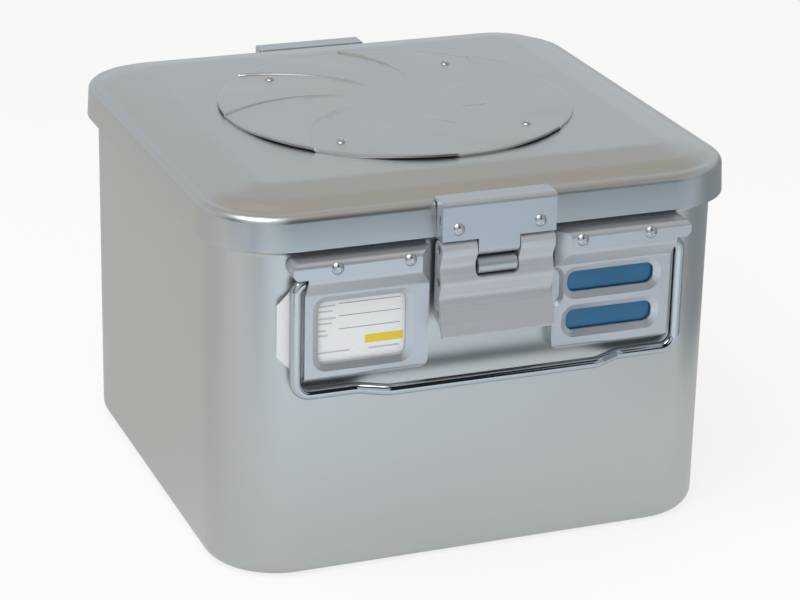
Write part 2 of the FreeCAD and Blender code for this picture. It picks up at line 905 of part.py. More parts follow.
def pivot_bar():
    """The bar behind the band: the handle's end turns in it and the rivets pass through it."""
    front = band_face + holder_sheet
    slope = (band_depth - holder_depth) / slope_height
    lean = math.sqrt(1 + slope**2)
    slope_low = band_bottom - slope_height
    bottom = bar_bottom()
    inner_skin = holder_face - slope * (bottom - slope_low) + holder_sheet * lean
    bend_height = slope_low + (holder_face + holder_sheet * lean - front) / slope
    profile = [
        (wall_face, bottom, 0),
        (inner_skin + part_gap, bottom, 0),
        (front + part_gap, bend_height, 0),
        (front, bend_height + slope_bend, 0),
        (front, band_top - holder_sheet, tray_bend),
        (wall_face, band_top - holder_sheet, 0),
    ]
    bar = bar_x(profile, bar_inner, bar_outer)
    start = Vector(handle_end_x - 2 * part_gap, handle_y, handle_pivot_height)
    finish = Vector(bar_outer, handle_y, handle_pivot_height)
    bar = bar.cut(cylinder(wire_radius + pin_clearance, start, finish))
    points = holder_rivet_points(front - part_gap)
    depth = band_depth + 2 * part_gap
    return drill(bar, points, Vector(0, 1, 0), holder_rivet_shank + drill_clearance, depth)


def handle():
    low = handle_pivot_height - handle_drop
    half = [
        (Vector(handle_end_x, handle_y, handle_pivot_height), 0),
        (Vector(handle_leg_x, handle_y, handle_pivot_height), handle_top_bend),
        (Vector(handle_leg_x, handle_y, low), handle_low_bend),
        (Vector(grip_half + grip_slant, handle_y, low), grip_bend),
        (Vector(grip_half, handle_y - grip_shift, low), grip_bend),
    ]
    other = [(Vector(-p.x, p.y, p.z), radius) for p, radius in half]
    path = Part.Wire(rounded_edges(half + other[::-1], False))
    start = half[0][0]
    section = Part.Wire(Part.makeCircle(wire_radius, start, X_AXIS))
    return path.makePipeShell([section], True, False)


def insert_height():
    return holder_bottom + holder_sheet + part_gap, bar_bottom() - part_gap


def label_card():
    low, high = insert_height()
    inner = -(holder_inner + holder_sheet + part_gap)
    tip = -card_tab_x
    outline = face_xz(
        [
            (inner, low, insert_corner),
            (inner, high, insert_end_corner),
            (tip + card_high_chamfer, high, 0.6),
            (tip, high - card_high_chamfer, 0.6),
            (tip, low + card_low_chamfer, 0.6),
            (tip + card_low_chamfer, low, 0.6),
        ],
        card_face,
    )
    return outline.extrude(Vector(0, card_thickness, 0))


def tag_plate():
    low, high = insert_height()
    inner = holder_inner + holder_sheet + part_gap
    outline = face_xz(
        [
            (inner, low, insert_corner),
            (tag_outer, low, insert_end_corner),
            (tag_outer, high, insert_end_corner),
            (inner, high, insert_end_corner),
        ],
        card_face,
    )
    return outline.extrude(Vector(0, tag_thickness, 0))


def pin(height):
    return pin_bore(height, pin_radius, latch_half - pin_inset)


def front_pieces():
    return {
        "lid_bracket": lid_bracket(),
        "bracket_rivets": bracket_rivets(),
        "latch_plate": latch_plate(),
        "hinge_pin": pin(hinge_height),
        "lock_pin": pin(lock_height),
        "catch_plate": catch_plate(),
        "catch_rivets": catch_rivets(),
        "card_holder": card_holder(),
        "tag_holder": tag_holder(),
        "card_holder_rivets": mirrored(holder_rivets()),
        "tag_holder_rivets": holder_rivets(),
        "card_side_bar": mirrored(pivot_bar()),
        "tag_side_bar": pivot_bar(),
        "label_card": label_card(),
        "tag_plate": tag_plate(),
        "handle": handle(),
    }


def all_pieces():
    pieces = {
        "base_shell": base_shell(),
        "lid_shell": lid_shell(),
        "lid_gasket": lid_gasket(),
        "vent_cover": vent_cover(),
        "vent_cover_rivets": vent_cover_rivets(),
        "filter_sheet": filter_sheet(),
        "retainer_gasket": retainer_gasket(),
        "filter_retainer": filter_retainer(),
        "retainer_post": retainer_post(),
        "retainer_knob": retainer_knob(),
    }
    for name, shape in front_pieces().items():
        pieces["front_" + name] = shape
        pieces["rear_" + name] = turned_back(shape)
    return pieces


os.makedirs("parts", exist_ok=True)
for name, shape in all_pieces().items():
    shape.exportStep(os.path.join("parts", name + ".step"))
    state = "valid" if shape.isValid() else "not valid"
    print(name, len(shape.Solids), "solids", round(shape.Volume), "mm3", state)
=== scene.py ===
import bpy
import bmesh
import json
import math
from mathutils import Matrix, Vector

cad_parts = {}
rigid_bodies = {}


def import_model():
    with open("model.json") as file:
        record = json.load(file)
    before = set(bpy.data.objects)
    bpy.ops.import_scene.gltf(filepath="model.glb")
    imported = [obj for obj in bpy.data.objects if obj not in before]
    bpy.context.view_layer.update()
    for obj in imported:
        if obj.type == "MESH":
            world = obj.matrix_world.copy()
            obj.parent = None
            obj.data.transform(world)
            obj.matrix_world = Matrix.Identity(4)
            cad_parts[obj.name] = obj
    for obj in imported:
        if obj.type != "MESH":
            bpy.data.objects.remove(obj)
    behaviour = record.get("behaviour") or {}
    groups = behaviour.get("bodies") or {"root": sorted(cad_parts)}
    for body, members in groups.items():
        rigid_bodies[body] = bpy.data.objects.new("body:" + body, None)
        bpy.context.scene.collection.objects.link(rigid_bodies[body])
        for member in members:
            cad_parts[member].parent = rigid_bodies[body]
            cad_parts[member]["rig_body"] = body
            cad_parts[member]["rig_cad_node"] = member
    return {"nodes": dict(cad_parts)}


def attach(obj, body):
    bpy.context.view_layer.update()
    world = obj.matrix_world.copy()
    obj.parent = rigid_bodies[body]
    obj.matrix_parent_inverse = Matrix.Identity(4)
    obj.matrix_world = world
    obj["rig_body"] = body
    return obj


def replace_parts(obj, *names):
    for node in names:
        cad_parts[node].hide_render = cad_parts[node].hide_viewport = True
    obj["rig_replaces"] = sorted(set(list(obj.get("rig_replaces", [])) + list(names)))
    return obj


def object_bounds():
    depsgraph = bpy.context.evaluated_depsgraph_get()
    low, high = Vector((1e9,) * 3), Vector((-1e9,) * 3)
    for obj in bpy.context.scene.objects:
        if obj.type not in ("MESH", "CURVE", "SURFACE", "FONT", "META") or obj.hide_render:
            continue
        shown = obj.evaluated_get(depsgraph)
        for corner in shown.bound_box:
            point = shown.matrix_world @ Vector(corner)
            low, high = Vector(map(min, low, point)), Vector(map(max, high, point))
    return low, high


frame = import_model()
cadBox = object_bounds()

nodes = frame["nodes"]
halfTurn = Matrix.Rotation(math.pi, 4, "Z")  # the rear fittings are the front ones turned round
mm = 0.001
print("the frame is loaded")


class Socket:  # one output in a material, with its arithmetic
    def __init__(self, tree, output):
        self.tree = tree
        self.output = output

    def maths(self, operation, first, second):
        return self.tree.make("ShaderNodeMath", {"operation": operation}, {0: first, 1: second})

    def __add__(self, other):
        return self.maths("ADD", self, other)

    def __sub__(self, other):
        return self.maths("SUBTRACT", self, other)

    def __rsub__(self, other):
        return self.maths("SUBTRACT", other, self)

    def __mul__(self, other):
        return self.maths("MULTIPLY", self, other)

    def __gt__(self, other):
        return self.maths("GREATER_THAN", self, other)

    def __lt__(self, other):
        return self.maths("LESS_THAN", self, other)

    __radd__ = __add__
    __rmul__ = __mul__


class Finish:  # one material and the nodes in it
    def __init__(self, name, world=None):
        owner = world or bpy.data.materials.new(name)
        owner.use_nodes = True
        owner.node_tree.nodes.clear()
        self.owner = owner
        self.tree = owner.node_tree

    def make(self, kind, settings=None, inputs=None, output=0):
        node = self.tree.nodes.new(kind)
        for key, value in (settings or {}).items():
            if key == "stops":
                marks = node.color_ramp.elements
                marks.remove(marks[1])
                marks[0].position, marks[0].color = value[0]
                for place, colour in value[1:]:
                    marks.new(place).color = colour
            else:
                setattr(node, key, value)
        for key, value in (inputs or {}).items():
            if isinstance(value, Socket):
                self.tree.links.new(value.output, node.inputs[key])
            else:
                node.inputs[key].default_value = value
        return Socket(self, node.outputs[output]) if node.outputs else None

    def place(self, scale=(1, 1, 1), turn=0.0):
        spot = self.make("ShaderNodeTexCoord", output=3)
        return self.make("ShaderNodeMapping", None, {0: spot, 2: (0, 0, turn), 3: scale})

    def noise(self, scale, stretch=(1, 1, 1), detail=2.0):
        inputs = {"Vector": self.place(stretch), "Scale": scale, "Detail": detail}
        return self.make("ShaderNodeTexNoise", None, inputs)

    def ease(self, value, first, last):  # 0 up to the first place, 1 from the last one on
        settings = {"interpolation_type": "SMOOTHSTEP"}
        return self.make("ShaderNodeMapRange", settings, {0: value, 1: first, 2: last})

    def mixed(self, factor, first, second):
        return self.make("ShaderNodeMix", {"data_type": "RGBA"}, {0: factor, 6: first, 7: second}, 2)

    def surface(self, **values):
        inputs = {key.replace("_", " "): value for key, value in values.items()}
        shader = self.make("ShaderNodeBsdfPrincipled", None, inputs)
        self.make("ShaderNodeOutputMaterial", None, {0: shader})
        return self.owner


def shade(red, green, blue):
    return (red, green, blue, 1.0)


def bump(finish, height, strength, depth):
    return finish.make("ShaderNodeBump", None, {"Strength": strength, "Distance": depth, "Height": height})


def blastedMetal(name, colour, roughness, metallic=1.0):
    finish = Finish(name)
    cloud = finish.noise(9.0, detail=3.0)
    grain = finish.noise(1500.0)
    tone = finish.mixed(cloud, shade(*(c * 0.95 for c in colour)), shade(*(c * 1.05 for c in colour)))
    tone = finish.mixed(grain * 0.16, tone, shade(*(c * 0.6 for c in colour)))
    rough = roughness + cloud * 0.05 + grain * 0.08
    relief = bump(finish, grain, 0.12, 0.00012)
    return finish.surface(Base_Color=tone, Metallic=metallic, Roughness=rough, Normal=relief)


def smoothMetal(name, colour, roughness):
    finish = Finish(name)
    smear = finish.noise(260.0)
    tone = finish.mixed(smear, shade(*(c * 0.93 for c in colour)), shade(*colour))
    return finish.surface(Base_Color=tone, Metallic=1.0, Roughness=smear * 0.06 + roughness)


def extrudedMetal(name, colour, metallic):
    finish = Finish(name)
    lines = finish.noise(60.0, (0.15, 22.0, 22.0), 3.0)  # drawn lines that run along the part
    grain = finish.noise(1300.0)
    tone = finish.mixed(lines, shade(*(c * 0.86 for c in colour)), shade(*(c * 1.08 for c in colour)))
    tone = finish.mixed(grain * 0.14, tone, shade(*(c * 0.6 for c in colour)))
    relief = bump(finish, lines * 0.7 + grain * 0.3, 0.16, 0.00015)
    return finish.surface(Base_Color=tone, Metallic=metallic, Roughness=lines * 0.1 + 0.36, Normal=relief)


def rubberFinish(name, colour):
    finish = Finish(name)
    grain = finish.noise(700.0)
    tone = finish.mixed(grain, shade(*(c * 0.85 for c in colour)), shade(*colour))
    relief = bump(finish, grain, 0.1, 0.0001)
    return finish.surface(Base_Color=tone, Roughness=grain * 0.12 + 0.55, Normal=relief)


def clothFinish(name, colour):
    finish = Finish(name)
    threads = {"Vector": finish.place(), "Scale": 500.0}
    across = finish.make("ShaderNodeTexWave", {"wave_type": "BANDS", "bands_direction": "X"}, threads, 1)
    along = finish.make("ShaderNodeTexWave", {"wave_type": "BANDS", "bands_direction": "Y"}, threads, 1)
    weave = across * along
    tone = finish.mixed(weave, shade(*(c * 0.8 for c in colour)), shade(*colour))
    return finish.surface(Base_Color=tone, Roughness=0.9, Normal=bump(finish, weave, 0.3, 0.0002))


def paintedTag(name, dark, light):
    finish = Finish(name)
    cloud = finish.noise(22.0, (1, 1, 0.4), 1.0)
    tone = finish.mixed(cloud, shade(*dark), shade(*light))
    return finish.surface(Base_Color=tone, Metallic=0.35, Roughness=finish.noise(400.0) * 0.06 + 0.16)


cardPrint = {  # in millimetres: left, right, height, and for the bar left, right, low, high
    "rules": [(-81.0, -48.2, 150.3), (-81.0, -48.2, 143.6), (-81.0, -48.2, 136.6)],
    "ruleWidth": 0.35,
    "bar": (-67.0, -46.5, 127.2, 131.8),
    "dashes": [(-92.0, -83.0, 149.6), (-92.0, -84.6, 146.8), (-92.0, -82.6, 142.9), (-92.0, -84.8, 140.2),
               (-92.0, -88.0, 136.4), (-92.0, -86.8, 133.8), (-92.0, -75.0, 124.6), (-65.0, -48.5, 124.4)],
    "dashWidth": 0.9,
}


def cardFinish(name, turn):
    finish = Finish(name)
    spot = finish.place(turn=turn)
    x = finish.make("ShaderNodeSeparateXYZ", None, {0: spot}, 0) * 1000.0
    z = finish.make("ShaderNodeSeparateXYZ", None, {0: spot}, 2) * 1000.0

    def stripe(left, right, low, high):
        return (x > left) * (x < right) * (z > low) * (z < high)

    fibre = finish.noise(500.0)
    tone = finish.mixed(fibre, shade(0.84, 0.88, 0.92), shade(0.92, 0.95, 0.97))
    half = cardPrint["ruleWidth"] / 2
    ink = 0.0
    for left, right, height in cardPrint["rules"]:
        ink = stripe(left, right, height - half, height + half) + ink
    tone = finish.mixed(ink, tone, shade(0.16, 0.17, 0.18))
    half = cardPrint["dashWidth"] / 2
    faint = 0.0
    for left, right, height in cardPrint["dashes"]:
        faint = stripe(left, right, height - half, height + half) + faint
    tone = finish.mixed(faint * 0.55, tone, shade(0.30, 0.31, 0.33))
    tone = finish.mixed(stripe(*cardPrint["bar"]), tone, shade(0.85, 0.66, 0.05))
    return finish.surface(Base_Color=tone, Roughness=0.55, Normal=bump(finish, fibre, 0.05, 0.0001))


shellMetal = blastedMetal("shell_metal", (0.48, 0.50, 0.505), 0.26)
fittingMetal = blastedMetal("fitting_metal", (0.44, 0.485, 0.53), 0.3, 0.65)
trayMetal = blastedMetal("tray_metal", (0.50, 0.54, 0.585), 0.3, 0.65)
latchMetal = extrudedMetal("latch_metal", (0.54, 0.57, 0.61), 0.4)
rivetMetal = smoothMetal("rivet_metal", (0.44, 0.46, 0.49), 0.2)
pinSteel = smoothMetal("pin_steel", (0.52, 0.51, 0.49), 0.28)
wireChrome = smoothMetal("wire_chrome", (0.42, 0.46, 0.50), 0.04)
sealRubber = rubberFinish("seal_rubber", (0.42, 0.43, 0.45))
filterCloth = clothFinish("filter_cloth", (0.86, 0.88, 0.90))
knobPlastic = rubberFinish("knob_plastic", (0.035, 0.035, 0.04))
tagBlue = paintedTag("tag_blue", (0.012, 0.10, 0.22), (0.04, 0.19, 0.36))
cardWhite = {"front": cardFinish("card_white", 0.0), "rear": cardFinish("card_white_rear", math.pi)}
print("the finishes are made")


def dress(piece, material):
    piece.data.materials.clear()
    piece.data.materials.append(material)


def start(obj):  # edit mode on one object, with nothing selected
    bpy.ops.object.select_all(action="DESELECT")
    obj.select_set(True)
    bpy.context.view_layer.objects.active = obj
    bpy.ops.object.mode_set(mode="EDIT")
    bpy.ops.mesh.select_all(action="DESELECT")


def done(obj, name):  # back in object mode, at the origin and unturned
    if obj.mode == "EDIT":
        bpy.ops.object.mode_set(mode="OBJECT")
    obj.name = name
    obj.data.name = name
    bpy.ops.object.select_all(action="DESELECT")
    obj.select_set(True)
    bpy.context.view_layer.objects.active = obj
    bpy.ops.object.transform_apply(location=True, rotation=True, scale=True)
    return obj


def modify(obj, kind, **settings):
    modifier = obj.modifiers.new(kind.title(), kind)
    for key, value in settings.items():
        setattr(modifier, key, value)
    bpy.ops.object.select_all(action="DESELECT")
    obj.select_set(True)
    bpy.context.view_layer.objects.active = obj
    bpy.ops.object.modifier_apply(modifier=modifier.name)


def smooth(obj, angle=35.0):
    bpy.ops.object.select_all(action="DESELECT")
    obj.select_set(True)
    bpy.context.view_layer.objects.active = obj
    bpy.ops.object.shade_smooth_by_angle(angle=math.radians(angle))


def roundedPath(corners, steps=6):  # (point, radius) pairs; each inner corner becomes an arc
    points = [corners[0][0]]
    for (before, _), (here, radius), (after, _) in zip(corners, corners[1:], corners[2:]):
        back = (before - here).normalized()
        ahead = (after - here).normalized()
        half = back.angle(ahead) / 2
        centre = here + (back + ahead).normalized() * (radius / math.sin(half))
        first = here + back * (radius / math.tan(half)) - centre
        last = here + ahead * (radius / math.tan(half)) - centre
        turn = first.normalized(), last.normalized()
        points += [centre + turn[0].slerp(turn[1], k / steps) * first.length for k in range(steps + 1)]
    return points + [corners[-1][0]]


def drawFace(points, up):  # carries the selected face along a section: (distance inwards, height)
    for last, point in zip(points, points[1:]):
        inwards, rise = point - last
        if abs(inwards) < 1e-7:
            bpy.ops.mesh.extrude_region_move(TRANSFORM_OT_translate={"value": (0, 0, rise)})
        else:
            bpy.ops.mesh.inset(thickness=inwards, depth=rise * up, use_even_offset=True)


def section(*corners):
    return [(Vector((a * mm, b * mm)), radius * mm) for a, b, radius in corners]


def roundedPlane(length, width, corner, height):  # a flat face with round corners, selected
    bpy.ops.mesh.primitive_plane_add(size=1, location=(0, 0, height * mm))
    plane = bpy.context.object
    plane.scale = (length * mm, width * mm, 1)
    bpy.ops.object.transform_apply(location=True, rotation=True, scale=True)
    start(plane)
    bpy.ops.mesh.select_all(action="SELECT")
    bpy.ops.mesh.bevel(offset=corner * mm, offset_type="OFFSET", segments=20, affect="VERTICES")
    bpy.ops.mesh.select_all(action="SELECT")
    return plane


# a section's corners are (distance inwards, height, radius of the bend)
bodySizes = {"length": 285.4, "width": 274.4, "corner": 43.0, "sheet": 2.0}
bodySection = section((0, 193, 0), (0, 181, 3), (3, 178.3, 3), (3, 0, 8), (22, 0, 0))
lidSizes = {"length": 290.0, "width": 279.0, "corner": 42.0, "sheet": 1.5}
lidSection = section((0, 181.3, 0), (1, 199.5, 4), (7, 199.5, 6),
                     (14, 203, 20), (33, 206.5, 30), (38, 206.5, 0))


def drawnShell(name, sizes, path, up):
    shell = roundedPlane(sizes["length"], sizes["width"], sizes["corner"], path[0][0].y / mm)
    if up < 0:
        bpy.ops.mesh.flip_normals()
    drawFace(roundedPath(path, 8), up)
    bpy.ops.mesh.select_all(action="DESELECT")
    shape = bmesh.from_edit_mesh(shell.data)
    for face in shape.faces:  # an extruded face leaves one behind it, across the mouth
        face.select_set(all(abs(v.co.z - path[0][0].y) < 0.01 * mm for v in face.verts))
    bmesh.update_edit_mesh(shell.data)
    bpy.ops.mesh.delete(type="ONLY_FACE")
    done(shell, name)
    modify(shell, "SOLIDIFY", thickness=sizes["sheet"] * mm, offset=-1.0, use_even_offset=True)
    smooth(shell, 40.0)
    return shell


baseBody = drawnShell("baseBody", bodySizes, bodySection, -1)
dress(baseBody, shellMetal)
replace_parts(baseBody, "base_shell")
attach(baseBody, "base")
lidSkin = drawnShell("lidSkin", lidSizes, lidSection, 1)
dress(lidSkin, shellMetal)
print("the drawn shells are made")

steamHoles = {"radius": 1.6, "pitch": 10.0, "rings": [22.0, 32.5, 43.0, 53.5, 64.0], "sides": 12,
              "low": 203.0, "high": 208.0}


def punch(shell):
    low = steamHoles["low"]
    high = steamHoles["high"]
    radius = steamHoles["radius"] * mm
    drills = []
    for ring in steamHoles["rings"]:
        count = round(2 * math.pi * ring / steamHoles["pitch"])
        for k in range(count):
            turn = Matrix.Rotation(2 * math.pi * k / count, 3, "Z")
            spot = turn @ Vector((ring * mm, 0, (low + high) / 2 * mm))
            bpy.ops.mesh.primitive_cylinder_add(vertices=steamHoles["sides"], radius=radius,
                                                depth=(high - low) * mm, location=spot)
            drills.append(bpy.context.object)
    bpy.ops.object.select_all(action="DESELECT")
    for drill in drills:
        drill.select_set(True)
    bpy.context.view_layer.objects.active = drills[0]
    bpy.ops.object.join()
    modify(shell, "BOOLEAN", operation="DIFFERENCE", object=drills[0], solver="EXACT")
    bpy.data.objects.remove(drills[0])


punch(lidSkin)
smooth(lidSkin, 40.0)
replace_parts(lidSkin, "lid_shell")
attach(lidSkin, "lid")
print("the lid is punched")

coverSizes = {"radius": 96.5, "sheet": 1.2, "plateau": 206.5, "blades": 8, "rise": 0.85, "root": 26.0,
              "phase": -0.8, "sweep": 38.5, "rings": 18, "edge": 0.25}
# across a blade: (share of its pitch, share of its rise)
bladeColumns = [(0.0, 0.0), (0.2, 0.0), (0.32, 0.06), (0.4, 0.28), (0.48, 0.62), (0.56, 0.9),
                (0.66, 1.0), (0.8, 1.0), (0.97, 1.0), (0.985, 0.96), (0.994, 0.6), (1.0, 0.0)]


def coverPoint(radius, share, lift):
    outwards = (radius - coverSizes["root"]) / (coverSizes["radius"] - coverSizes["root"])
    edge = coverSizes["phase"] - coverSizes["sweep"] * (1 - outwards)
    angle = math.radians(edge - 360.0 / coverSizes["blades"] * (1 - share))
    height = coverSizes["plateau"] + coverSizes["sheet"] + coverSizes["rise"] * outwards**1.15 * lift
    return Vector((radius * math.cos(angle), radius * math.sin(angle), height)) * mm


def ventCover():
    columns = len(bladeColumns)
    rings = coverSizes["rings"]
    bpy.ops.mesh.primitive_grid_add(x_subdivisions=columns - 1, y_subdivisions=rings - 1, size=1)
    blade = bpy.context.object
    for vertex in blade.data.vertices:
        share, lift = bladeColumns[round((vertex.co.x + 0.5) * (columns - 1))]
        outwards = vertex.co.y + 0.5
        radius = coverSizes["root"] + (coverSizes["radius"] - coverSizes["root"]) * outwards
        vertex.co = coverPoint(radius, share, lift)
    blades = [blade]
    for k in range(1, coverSizes["blades"]):
        copy = blade.copy()
        copy.data = blade.data.copy()
        copy.data.transform(Matrix.Rotation(2 * math.pi * k / coverSizes["blades"], 4, "Z"))
        bpy.context.collection.objects.link(copy)
        blades.append(copy)
    bpy.ops.object.select_all(action="DESELECT")
    for piece in blades:
        piece.select_set(True)
    bpy.context.view_layer.objects.active = blade
    bpy.ops.object.join()
    start(blade)
    bpy.ops.mesh.select_all(action="SELECT")
    bpy.ops.mesh.remove_doubles(threshold=0.01 * mm)
    bpy.ops.mesh.select_all(action="DESELECT")
    bpy.ops.mesh.select_mode(type="EDGE")
    shape = bmesh.from_edit_mesh(blade.data)
    for edge in shape.edges:  # the open ring round the middle
        if edge.is_boundary and all(v.co.xy.length < (coverSizes["root"] + 1) * mm for v in edge.verts):
            edge.select_set(True)
    bmesh.update_edit_mesh(blade.data)
    bpy.ops.mesh.edge_face_add()
    bpy.ops.mesh.select_mode(type="VERT")
    bpy.ops.mesh.select_all(action="SELECT")
    bpy.ops.mesh.normals_make_consistent(inside=False)
    done(blade, "ventCover")
    if blade.data.polygons[0].normal.z < 0:
        blade.data.flip_normals()
    modify(blade, "SOLIDIFY", thickness=coverSizes["sheet"] * mm, offset=-1.0)
    modify(blade, "BEVEL", width=coverSizes["edge"] * mm, segments=2, limit_method="ANGLE",
           angle_limit=math.radians(75))
    smooth(blade, 32.0)
    return blade


cover = ventCover()
dress(cover, shellMetal)
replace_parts(cover, "vent_cover")
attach(cover, "lid")
print("the vent cover is made")


def copyOf(piece, name, move):
    copy = piece.copy()
    copy.data = piece.data.copy()
    copy.data.transform(move)
    copy.name = name
    copy.data.name = name
    bpy.context.collection.objects.link(copy)
    return copy


headSizes = {"sides": 28, "rings": 7, "flat": 9, "pitRim": 0.12, "pitDepth": 0.2, "pitFloor": 0.1}


def dome(radius, height, shank):  # a rivet that points up, its seat at the origin
    sphere = (radius**2 + height**2) / (2 * height)
    bpy.ops.mesh.primitive_circle_add(vertices=headSizes["sides"], radius=radius * mm, fill_type="NGON")
    head = bpy.context.object
    start(head)
    bpy.ops.mesh.select_all(action="SELECT")
    steep = math.asin(radius / sphere)
    points = []
    for k in range(headSizes["rings"]):
        lean = steep * (1 - k / headSizes["flat"])
        inwards = radius - sphere * math.sin(lean)
        rise = sphere * math.cos(lean) - sphere + height
        points.append(Vector((inwards * mm, rise * mm)))
    drawFace(points, 1)
    bpy.ops.mesh.inset(thickness=headSizes["pitRim"] * mm, depth=-headSizes["pitDepth"] * mm)
    bpy.ops.mesh.inset(thickness=headSizes["pitFloor"] * mm, depth=0.0)
    bpy.ops.mesh.select_all(action="DESELECT")
    bpy.ops.mesh.select_mode(type="EDGE")
    shape = bmesh.from_edit_mesh(head.data)
    for edge in shape.edges:
        if edge.is_boundary:
            edge.select_set(True)
    bmesh.update_edit_mesh(head.data)
    bpy.ops.mesh.edge_face_add()
    bpy.ops.mesh.inset(thickness=(radius - shank[0]) * mm, depth=0.0)
    bpy.ops.mesh.extrude_region_move(TRANSFORM_OT_translate={"value": (0, 0, -shank[1] * mm)})
    bpy.ops.mesh.select_mode(type="VERT")
    bpy.ops.mesh.select_all(action="SELECT")
    bpy.ops.mesh.normals_make_consistent(inside=False)
    done(head, "rivet")
    smooth(head, 40.0)
    return head


def rivetRow(name, node, body, sizes, spots, aim):  # one piece of several rivets
    model = dome(*sizes)
    copies = [copyOf(model, name, Matrix.Translation(Vector(spot) * mm) @ aim) for spot in spots]
    bpy.data.objects.remove(model)
    bpy.ops.object.select_all(action="DESELECT")
    for copy in copies:
        copy.select_set(True)
    bpy.context.view_layer.objects.active = copies[0]
    bpy.ops.object.join()
    row = done(copies[0], name)
    dress(row, rivetMetal)
    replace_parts(row, node)
    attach(row, body)
    return row


def rearCopy(piece, body, node, name):
    copy = copyOf(piece, name, halfTurn)
    copy["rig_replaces"] = []
    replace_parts(copy, node)
    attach(copy, body)
    return copy


upright = Matrix.Identity(4)
forwards = Matrix.Rotation(math.pi / 2, 4, "X")  # turns a rivet's head to the front
coverRivets = {"x": 52.5, "y": 58.0, "sunk": 0.05, "sizes": (3.0, 1.5, (1.5, 3.3))}
coverRivetSpots = []
for x in (-coverRivets["x"], coverRivets["x"]):
    for y in (-coverRivets["y"], coverRivets["y"]):  # each one stands on the cover's blades
        seat = cover.ray_cast((x * mm, y * mm, cadBox[1][2] + 0.1), (0, 0, -1))[1]
        coverRivetSpots.append((x, y, seat.z / mm - coverRivets["sunk"]))
rivetRow("ventCoverRivets", "vent_cover_rivets", "lid", coverRivets["sizes"], coverRivetSpots, upright)
frontRivets = {  # body, (head radius, head height, (shank radius, shank length)), places
    "bracket_rivets": ("lid", (3.25, 1.7, (1.6, 9.3)),
                       [(-22.2, -147.4, 186.8), (22.2, -147.4, 186.8)]),
    "card_holder_rivets": ("base", (3.3, 1.8, (1.6, 13.7)),
                           [(-47.0, -146.0, 173.0), (-85.5, -146.0, 173.0)]),
    "tag_holder_rivets": ("base", (3.3, 1.8, (1.6, 13.7)),
                          [(47.0, -146.0, 173.0), (85.5, -146.0, 173.0)]),
}
for node, (body, sizes, spots) in frontRivets.items():
    row = rivetRow("front_" + node + "_domed", "front_" + node, body, sizes, spots, forwards)
    rearCopy(row, body, "rear_" + node, "rear_" + node + "_domed")
print("the rivets are made")

handleSizes = {"wire": 3.0, "y": -139.4, "pivot": 165.0, "low": 104.8, "leg": 105.3, "end": 60.2,
               "topBend": 6.0, "lowBend": 8.0, "grip": 57.5, "slant": 14.5, "out": 7.5, "gripBend": 12.0}


def wireHandle():
    s = handleSizes
    half = [
        ((s["end"], s["y"], s["pivot"]), 0),
        ((s["leg"], s["y"], s["pivot"]), s["topBend"]),
        ((s["leg"], s["y"], s["low"]), s["lowBend"]),
        ((s["grip"] + s["slant"], s["y"], s["low"]), s["gripBend"]),
        ((s["grip"], s["y"] - s["out"], s["low"]), s["gripBend"]),
    ]
    corners = [(Vector(p) * mm, r * mm) for p, r in half]
    corners += [(Vector((-p.x, p.y, p.z)), r) for p, r in reversed(corners)]
    points = roundedPath(corners, 10)
    bpy.ops.curve.primitive_bezier_curve_add()
    wire = bpy.context.object
    wire.data.splines.clear()
    spline = wire.data.splines.new("POLY")
    spline.points.add(len(points) - 1)
    for target, point in zip(spline.points, points):
        target.co = (*point, 1)
    wire.data.dimensions = "3D"
    wire.data.bevel_depth = s["wire"] * mm
    wire.data.bevel_resolution = 6
    wire.data.use_fill_caps = True
    bpy.ops.object.select_all(action="DESELECT")
    wire.select_set(True)
    bpy.context.view_layer.objects.active = wire
    bpy.ops.object.convert(target="MESH")
    return wire


handle = done(wireHandle(), "front_wireHandle")
smooth(handle, 60.0)
dress(handle, wireChrome)
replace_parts(handle, "front_handle")
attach(handle, "front_handle")
rearCopy(handle, "rear_handle", "rear_handle", "rear_wireHandle")
print("the handles are made")


easing = {"merge": 0.005, "flatAngle": 0.8, "edgeAngle": 28.0, "smoothAngle": 32.0}


def softened(node, width, material):  # a copy of a fitting with its edges eased
    piece = copyOf(nodes[node], node + "_eased", upright)
    piece.parent = None
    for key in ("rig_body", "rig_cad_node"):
        del piece[key]
    start(piece)
    bpy.ops.mesh.select_all(action="SELECT")
    bpy.ops.mesh.remove_doubles(threshold=easing["merge"] * mm)
    bpy.ops.mesh.dissolve_limited(angle_limit=math.radians(easing["flatAngle"]))
    done(piece, node + "_eased")
    modify(piece, "BEVEL", width=width * mm, segments=2, limit_method="ANGLE",
           angle_limit=math.radians(easing["edgeAngle"]))
    smooth(piece, easing["smoothAngle"])
    modify(piece, "WEIGHTED_NORMAL", keep_sharp=True)
    dress(piece, material)
    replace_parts(piece, node)
    return piece


fittings = {  # body, width of the eased edges, finish
    "lid_bracket": ("lid", 0.35, fittingMetal), "latch_plate": ("latch", 0.3, latchMetal),
    "card_holder": ("base", 0.3, trayMetal), "tag_holder": ("base", 0.3, trayMetal),
    "catch_plate": ("base", 0.25, fittingMetal),
}
for end in ("front", "rear"):
    for name, (body, width, material) in fittings.items():
        piece = softened(end + "_" + name, width, material)
        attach(piece, end + "_latch" if body == "latch" else body)
print("the fittings are eased")

